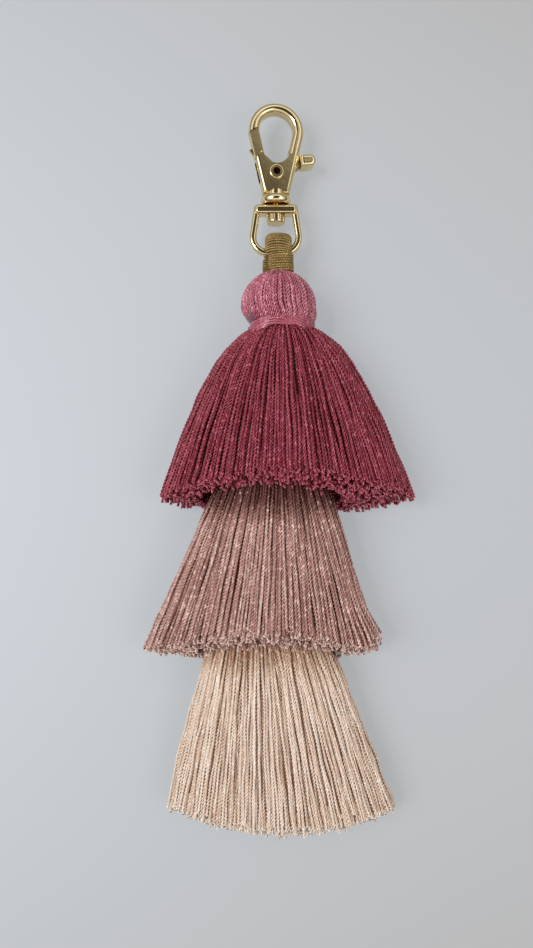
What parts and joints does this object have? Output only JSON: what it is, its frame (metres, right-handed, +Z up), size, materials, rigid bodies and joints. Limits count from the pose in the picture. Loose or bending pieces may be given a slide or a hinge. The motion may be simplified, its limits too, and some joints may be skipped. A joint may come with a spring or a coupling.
{
  "type": "tassel keychain",
  "caption": "Wristlet keychain with a gold trigger swivel hook, a stirrup ring, a thread-wrapped cord loop and a tassel in three fanned tiers.",
  "frame": {"origin": "middle of the keychain's footprint, on the surface it lies on", "axes": "+Y along the keychain towards the hook, +Z up from the surface, +X to the side the thumb tab is on"},
  "size_m": [0.0641, 0.1834, 0.0189],
  "materials": {
    "gold_metal": "polished pale gold plating",
    "spring_wire": "drawn wire",
    "gold_thread": "olive gold metallic sewing thread",
    "inner_cord": "twisted cotton cord",
    "bead_wood": "turned, unvarnished",
    "raspberry_thread": "silky two-ply twist",
    "dusty_rose_thread": "silky two-ply twist",
    "champagne_thread": "silky two-ply twist"
  },
  "bodies": {
    "tassel": {"loop_core": "inner_cord", "loop_wrap": "gold_thread", "collar_wrap": "gold_thread", "centre_cord": "inner_cord", "head_bead": "bead_wood", "upper_head": "raspberry_thread", "upper_neck_wrap": "raspberry_thread", "upper_skirt": "raspberry_thread"},
    "ring": {"swivel_ring": "gold_metal"},
    "hook": {"hook_body": "gold_metal", "trigger_rivet": "gold_metal", "trigger_spring": "spring_wire", "swivel_rivet": "gold_metal"},
    "trigger": {"trigger_lever": "gold_metal"},
    "middle_tier": {"middle_cord": "inner_cord", "middle_knot": "inner_cord", "middle_head": "dusty_rose_thread", "middle_neck_wrap": "dusty_rose_thread", "middle_skirt": "dusty_rose_thread"},
    "lower_tier": {"lower_cord": "inner_cord", "end_knot": "inner_cord", "lower_head": "champagne_thread", "lower_neck_wrap": "champagne_thread", "lower_skirt": "champagne_thread"}
  },
  "joints": [
    {"name": "loop_swing", "type": "hinge", "parent": "tassel", "child": "ring", "pos_m": [-0.0006, 0.0551, 0.006], "axis": [1, 0, 0], "range_deg": [-60, 60]},
    {"name": "hook_swivel", "type": "hinge", "parent": "ring", "child": "hook", "pos_m": [-0.0006, 0.0655, 0.006], "axis": [0, 1, 0], "continuous": true},
    {"name": "trigger_pull", "type": "hinge", "parent": "hook", "child": "trigger", "pos_m": [-0.0006, 0.0748, 0.006], "axis": [-0.1392, 0, -0.9903], "range_deg": [0, 30], "stiffness_Nm_per_rad": 0.02, "springref_deg": -20.05},
    {"name": "middle_sway", "type": "hinge", "parent": "tassel", "child": "middle_tier", "pos_m": [0, 0.0208, 0.0089], "axis": [0, 0, 1], "range_deg": [-4, 4]},
    {"name": "lower_sway", "type": "hinge", "parent": "middle_tier", "child": "lower_tier", "pos_m": [-0.0032, -0.0119, 0.0095], "axis": [0, 0, 1], "range_deg": [-4, 4]}
  ]
}
